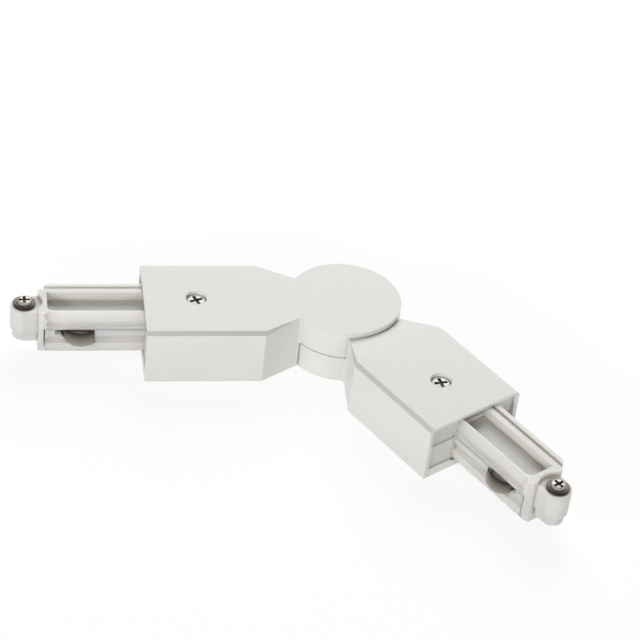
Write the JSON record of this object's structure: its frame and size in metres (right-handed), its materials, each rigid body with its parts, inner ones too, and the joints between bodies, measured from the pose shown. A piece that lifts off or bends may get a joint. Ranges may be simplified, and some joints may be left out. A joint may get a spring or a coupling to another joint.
{
  "type": "rotatable track connector",
  "caption": "Rotatable connector for a surface track: two flat arms fold on a round hub, each with a contact plug that slides into a track's end.",
  "frame": {"origin": "on the hub's axis, at the mounting face under the hub", "axes": "+Z along the hub's axis, away from the mounting face; the upper arm runs along -X; the lower arm runs 59.5 degrees from +X towards -Y"},
  "size_m": [0.1582, 0.1074, 0.019],
  "materials": {
    "case": "warm grey-white, fine satin texture",
    "plug": "smooth, half gloss",
    "painted_screw": "white paint",
    "contact": "nickel plated",
    "screw": "nickel plated",
    "collar": "dark plated",
    "pivot": "turned",
    "friction": "matte",
    "spring_steel": "bare",
    "sheath": "matte",
    "wire_brown": "matte",
    "wire_blue": "matte",
    "wire_green": "matte"
  },
  "bodies": {
    "upper_arm": {"upper_cover": "case", "upper_base": "case", "upper_cover_screw": "painted_screw", "upper_plug_top": "plug", "upper_plug_base": "plug", "upper_live_contact": "contact", "upper_neutral_contact": "contact", "upper_earth_contact": "contact", "upper_clamp_screw": "screw", "upper_clamp_washer": "collar", "upper_clamp_foot": "plug", "upper_clamp_nut": "screw", "upper_live_wire": "wire_brown", "upper_neutral_wire": "wire_blue", "upper_earth_wire": "wire_green", "spring_washer": "spring_steel"},
    "lower_arm": {"lower_cover": "case", "lower_base": "case", "lower_cover_screw": "painted_screw", "lower_plug_top": "plug", "lower_plug_base": "plug", "lower_live_contact": "contact", "lower_neutral_contact": "contact", "lower_earth_contact": "contact", "lower_clamp_screw": "screw", "lower_clamp_washer": "collar", "lower_clamp_foot": "plug", "lower_clamp_nut": "screw", "lower_live_wire": "wire_brown", "lower_neutral_wire": "wire_blue", "lower_earth_wire": "wire_green", "pivot_sleeve": "pivot", "friction_washer": "friction", "retaining_ring": "spring_steel", "wire_sheath": "sheath"}
  },
  "joints": [
    {"name": "fold", "type": "hinge", "parent": "upper_arm", "child": "lower_arm", "pos_m": [0, 0, 0], "axis": [0, 0, 1], "range_deg": [-30.5, 149.5]}
  ]
}
